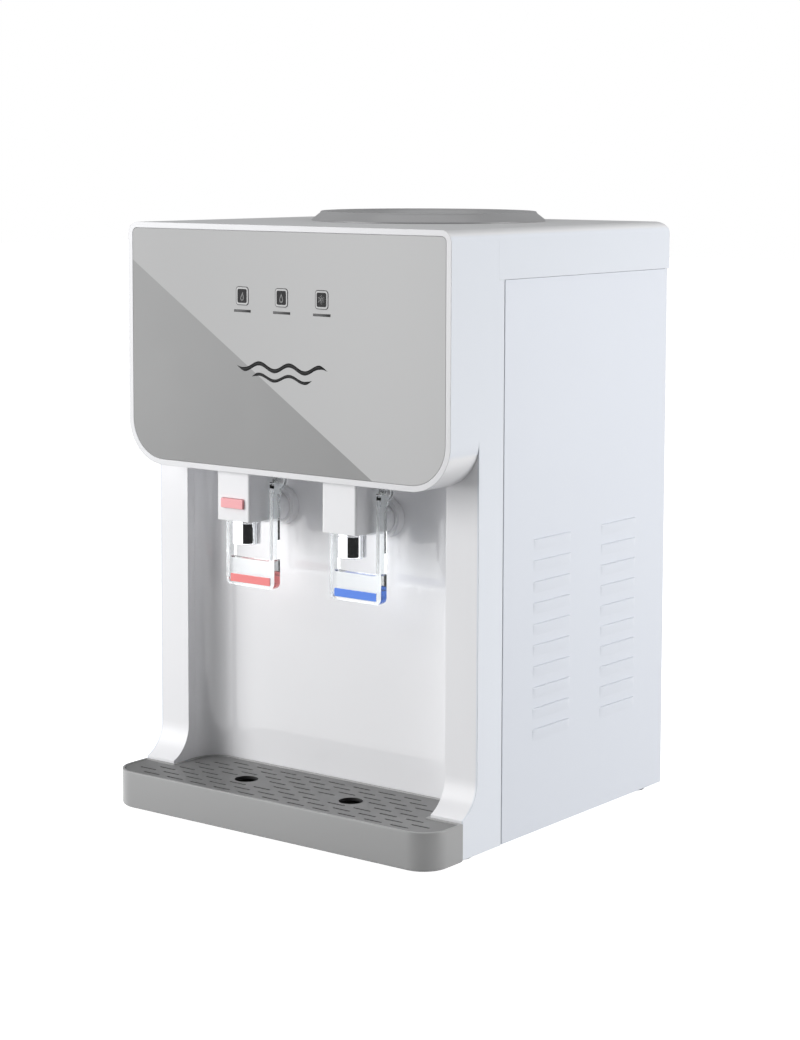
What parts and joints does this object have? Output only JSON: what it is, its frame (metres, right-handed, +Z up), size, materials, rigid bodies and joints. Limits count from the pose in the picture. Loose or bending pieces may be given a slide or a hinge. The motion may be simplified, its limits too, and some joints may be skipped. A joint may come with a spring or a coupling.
{
  "type": "countertop water dispenser",
  "caption": "Countertop water dispenser with a bottle collar, hot and cold lever taps in a niche, and a sliding drip tray.",
  "frame": {"origin": "on the resting surface, under the middle of the object's box", "axes": "+Z up, the taps face -Y, +X to the right of someone facing the taps"},
  "size_m": [0.3216, 0.329, 0.48],
  "materials": {
    "white_casing": "glossy moulded white plastic",
    "grey_panel": "smooth grey panel with a darker diagonal lower half",
    "dark_lens": "black glossy window",
    "splash_panel": "high-gloss white plastic",
    "collar_grey": "satin grey plastic",
    "white_steel": "fine powder-coated white sheet steel",
    "rear_steel": "light grey coated sheet steel",
    "zinc_steel": "zinc-plated sheet",
    "rubber": "matt black rubber",
    "tray_grey": "satin grey plastic",
    "grille_grey": "satin dark grey plastic",
    "chrome": "bright chrome plating",
    "clear_plastic": "clear polished acrylic",
    "red_plastic": "red plastic",
    "blue_plastic": "blue plastic",
    "white_nylon": "unfilled white nylon",
    "silicone": "translucent food-grade silicone",
    "stainless": "drawn stainless steel",
    "foam": "closed-cell foam",
    "mica_heater": "mica band in a steel clamp",
    "aluminium": "extruded aluminium",
    "ceramic": "white ceramic faces",
    "black_plastic": "black glass-filled plastic",
    "circuit": "green solder mask"
  },
  "bodies": {
    "casing": {"front_casing": "white_casing", "front_panel": "grey_panel", "heating_lens": "dark_lens", "power_lens": "dark_lens", "cooling_lens": "dark_lens", "control_board": "circuit", "niche_panel": "splash_panel", "top_cover": "white_casing", "bottle_collar": "collar_grey", "bottle_probe": "white_nylon", "left_side_panel": "white_steel", "right_side_panel": "white_steel", "rear_panel": "rear_steel", "base_plate": "zinc_steel", "feet": "rubber", "hot_tap_body": "white_casing", "cold_tap_body": "white_casing", "hot_nozzle": "chrome", "cold_nozzle": "chrome", "tap_nuts": "white_nylon", "hot_stem_spring": "stainless", "cold_stem_spring": "stainless", "cold_tank": "stainless", "cold_jacket": "foam", "hot_tank": "stainless", "band_heater": "mica_heater", "thermostat": "black_plastic", "cold_block": "aluminium", "peltier_module": "ceramic", "heat_sink": "aluminium", "fan_frame": "black_plastic", "fan_guard": "chrome", "power_board": "circuit", "switch_housings": "black_plastic", "cord_gland": "black_plastic", "drain_pipe": "silicone", "feed_pipe": "silicone", "hot_hose": "silicone", "cold_hose": "silicone", "tank_shelf": "zinc_steel", "rear_screws": "zinc_steel"},
    "drip_tray": {"drip_tray": "tray_grey"},
    "drip_grille": {"drip_grille": "grille_grey"},
    "hot_lever": {"hot_lever": "clear_plastic", "hot_lever_strip": "red_plastic", "hot_lever_shaft": "stainless"},
    "cold_lever": {"cold_lever": "clear_plastic", "cold_lever_strip": "blue_plastic", "cold_lever_shaft": "stainless"},
    "hot_stem": {"hot_stem": "silicone"},
    "cold_stem": {"cold_stem": "silicone"},
    "child_lock_button": {"child_lock_button": "red_plastic"},
    "fan_rotor": {"fan_rotor": "black_plastic"},
    "heating_switch": {"heating_switch": "black_plastic"},
    "cooling_switch": {"cooling_switch": "black_plastic"},
    "drain_plug": {"drain_plug": "silicone"}
  },
  "joints": [
    {"name": "hot_lever_hinge", "type": "hinge", "parent": "casing", "child": "hot_lever", "pos_m": [-0.053, -0.107, 0.27], "axis": [1, 0, 0], "range_deg": [0, 15], "stiffness_Nm_per_rad": 0.6, "springref_deg": -2.86},
    {"name": "hot_stem_slide", "type": "slide", "parent": "casing", "child": "hot_stem", "axis": [0, 0, -1], "range_m": [0, 0.0036], "stiffness_N_per_m": 200, "springref_m": -0.0005, "deforming": ["hot_stem_spring"]},
    {"name": "cold_lever_hinge", "type": "hinge", "parent": "casing", "child": "cold_lever", "pos_m": [0.053, -0.107, 0.27], "axis": [1, 0, 0], "range_deg": [0, 15], "stiffness_Nm_per_rad": 0.6, "springref_deg": -2.86},
    {"name": "cold_stem_slide", "type": "slide", "parent": "casing", "child": "cold_stem", "axis": [0, 0, -1], "range_m": [0, 0.0036], "stiffness_N_per_m": 200, "springref_m": -0.0005, "deforming": ["cold_stem_spring"]},
    {"name": "child_lock_press", "type": "slide", "parent": "casing", "child": "child_lock_button", "axis": [0, 1, 0], "range_m": [0, 0.0015], "stiffness_N_per_m": 400, "springref_m": -0.0005},
    {"name": "drip_tray_slide", "type": "slide", "parent": "casing", "child": "drip_tray", "axis": [0, -1, 0], "range_m": [0, 0.12]},
    {"name": "drip_grille_lift", "type": "slide", "parent": "drip_tray", "child": "drip_grille", "axis": [0, 0, 1], "range_m": [0, 0.05]},
    {"name": "fan_spin", "type": "hinge", "parent": "casing", "child": "fan_rotor", "pos_m": [0, 0.1525, 0.355], "axis": [0, 1, 0], "continuous": true},
    {"name": "drain_plug_pull", "type": "slide", "parent": "casing", "child": "drain_plug", "axis": [0, 1, 0], "range_m": [0, 0.03]},
    {"name": "heating_switch_rock", "type": "hinge", "parent": "casing", "child": "heating_switch", "pos_m": [-0.12, 0.161, 0.05], "axis": [1, 0, 0], "range_deg": [0, 14]},
    {"name": "cooling_switch_rock", "type": "hinge", "parent": "casing", "child": "cooling_switch", "pos_m": [-0.12, 0.161, 0.085], "axis": [1, 0, 0], "range_deg": [0, 14]}
  ],
  "couplings": [
    {"joint": "hot_stem_slide", "follows": "hot_lever_hinge", "m_per_rad": 0.0135},
    {"joint": "cold_stem_slide", "follows": "cold_lever_hinge", "m_per_rad": 0.0135}
  ]
}
